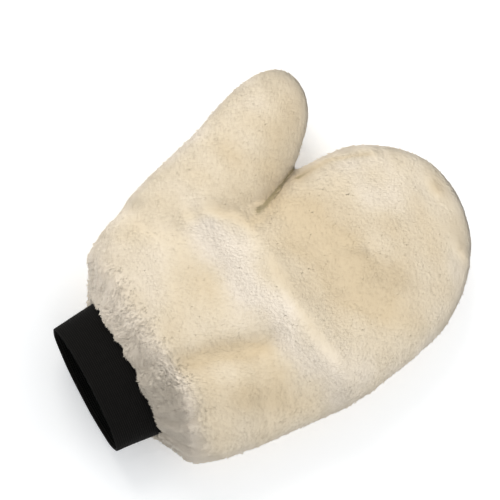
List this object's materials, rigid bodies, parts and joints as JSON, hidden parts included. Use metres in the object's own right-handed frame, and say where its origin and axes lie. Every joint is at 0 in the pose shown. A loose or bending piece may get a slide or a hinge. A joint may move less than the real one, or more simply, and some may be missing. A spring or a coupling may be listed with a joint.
{
  "type": "wash mitt",
  "caption": "Thick wool-pile wash mitt with a thumb and a wide black elastic cuff, pulled over the hand to wash a car body.",
  "frame": {"origin": "middle of the bounding box, on the surface that the mitt lies on", "axes": "+X from the cuff to the fingertips, +Y towards the thumb, +Z out of the back of the hand"},
  "size_m": [0.258, 0.203, 0.0716],
  "materials": {
    "wool_pile": "dense cream wool pile, evenly clipped",
    "lining_cloth": "smooth warp-knit lining",
    "seam_edges": "overlocked fabric edges",
    "cuff_elastic": "black ribbed woven elastic",
    "black_thread": "twisted polyester sewing thread"
  },
  "bodies": {
    "hand": {"lining_back_hand": "lining_cloth", "lining_fold_knuckle": "lining_cloth", "lining_fold_thumb_root": "lining_cloth", "lining_palm_hand": "lining_cloth", "pile_back_hand": "wool_pile", "pile_back_knuckle": "wool_pile", "pile_back_thumb_root": "wool_pile", "pile_palm_hand": "wool_pile", "pile_palm_knuckle": "wool_pile", "pile_palm_thumb_root": "wool_pile", "side_seam_little_finger": "seam_edges", "side_seam_thumb_base": "seam_edges", "wrist_gather": "wool_pile"},
    "fingers": {"lining_back_fingers": "lining_cloth", "lining_palm_fingers": "lining_cloth", "pile_back_fingers": "wool_pile", "pile_palm_fingers": "wool_pile", "side_seam_fingers": "seam_edges"},
    "thumb": {"lining_back_thumb": "lining_cloth", "lining_palm_thumb": "lining_cloth", "pile_back_thumb": "wool_pile", "pile_palm_thumb": "wool_pile", "side_seam_thumb": "seam_edges"},
    "cuff": {"cuff_band": "cuff_elastic", "cuff_lap": "cuff_elastic", "cuff_lap_stitches": "black_thread", "cuff_seam_thread": "black_thread"}
  },
  "joints": [
    {"name": "finger_curl", "type": "hinge", "parent": "hand", "child": "fingers", "pos_m": [0.018, -0.01968, 0.032], "axis": [0, 1, 0], "range_deg": [-10, 40], "deforming": ["pile_back_knuckle", "pile_palm_knuckle", "lining_fold_knuckle"]},
    {"name": "thumb_curl", "type": "hinge", "parent": "hand", "child": "thumb", "pos_m": [0.00255, 0.05504, 0.032], "axis": [-0.515, 0.8572, 0], "range_deg": [-10, 40], "deforming": ["pile_back_thumb_root", "pile_palm_thumb_root", "lining_fold_thumb_root"]},
    {"name": "wrist_flex", "type": "hinge", "parent": "hand", "child": "cuff", "pos_m": [-0.091, -0.01968, 0.0345], "axis": [0, 1, 0], "range_deg": [-15, 15], "deforming": ["wrist_gather"]}
  ]
}
